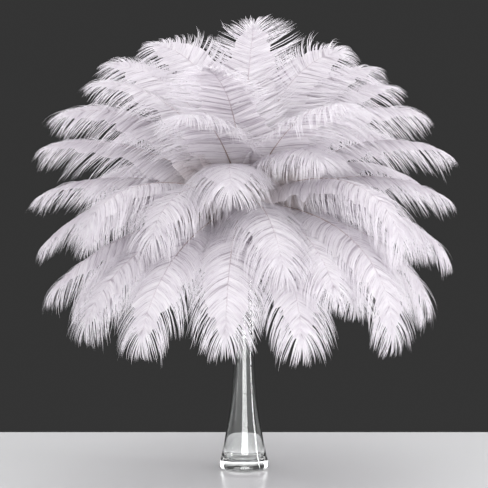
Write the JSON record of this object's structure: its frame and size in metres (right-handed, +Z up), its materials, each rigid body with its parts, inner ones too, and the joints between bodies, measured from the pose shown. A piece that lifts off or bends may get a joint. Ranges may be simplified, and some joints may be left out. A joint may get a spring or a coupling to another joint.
{
  "type": "ostrich feather centrepiece in a glass vase",
  "caption": "Tall clear glass vase with a flared foot and mouth, holding a domed spray of drooping white ostrich feathers on a foam ball.",
  "frame": {"origin": "middle of the vase's flat foot, on the surface that it stands on", "axes": "+Z up along the vase's axis, -Y is the front that shows the drooping feathers over the mouth, +X to the right seen from the front"},
  "size_m": [1.0255, 0.9418, 1.1156],
  "materials": {
    "glass": "clear, polished",
    "foam": "matte, fine-celled foam",
    "feather": "soft, downy white"
  },
  "bodies": {
    "root": {"glass_vase": "glass", "foam_ball": "foam", "skirt_feather_01": "feather", "skirt_feather_02": "feather", "skirt_feather_03": "feather", "skirt_feather_04": "feather", "skirt_feather_05": "feather", "skirt_feather_06": "feather", "skirt_feather_07": "feather", "skirt_feather_08": "feather", "skirt_feather_09": "feather", "skirt_feather_10": "feather", "skirt_feather_11": "feather", "skirt_feather_12": "feather", "skirt_feather_13": "feather", "skirt_feather_14": "feather", "skirt_feather_15": "feather", "lower_feather_01": "feather", "lower_feather_02": "feather", "lower_feather_03": "feather", "lower_feather_04": "feather", "lower_feather_05": "feather", "lower_feather_06": "feather", "lower_feather_07": "feather", "lower_feather_08": "feather", "lower_feather_09": "feather", "lower_feather_10": "feather", "lower_feather_11": "feather", "middle_feather_01": "feather", "middle_feather_02": "feather", "middle_feather_03": "feather", "middle_feather_04": "feather", "middle_feather_05": "feather", "middle_feather_06": "feather", "middle_feather_07": "feather", "middle_feather_08": "feather", "middle_feather_09": "feather", "middle_feather_10": "feather", "upper_feather_01": "feather", "upper_feather_02": "feather", "upper_feather_03": "feather", "upper_feather_04": "feather", "upper_feather_05": "feather", "upper_feather_06": "feather", "upper_feather_07": "feather", "upper_feather_08": "feather", "upper_feather_09": "feather", "shoulder_feather_01": "feather", "shoulder_feather_02": "feather", "shoulder_feather_03": "feather", "shoulder_feather_04": "feather", "shoulder_feather_05": "feather", "shoulder_feather_06": "feather", "crown_feather_01": "feather", "crown_feather_02": "feather", "crown_feather_03": "feather", "crown_feather_04": "feather", "crown_feather_05": "feather", "crown_feather_06": "feather", "crown_feather_07": "feather"}
  },
  "joints": []
}
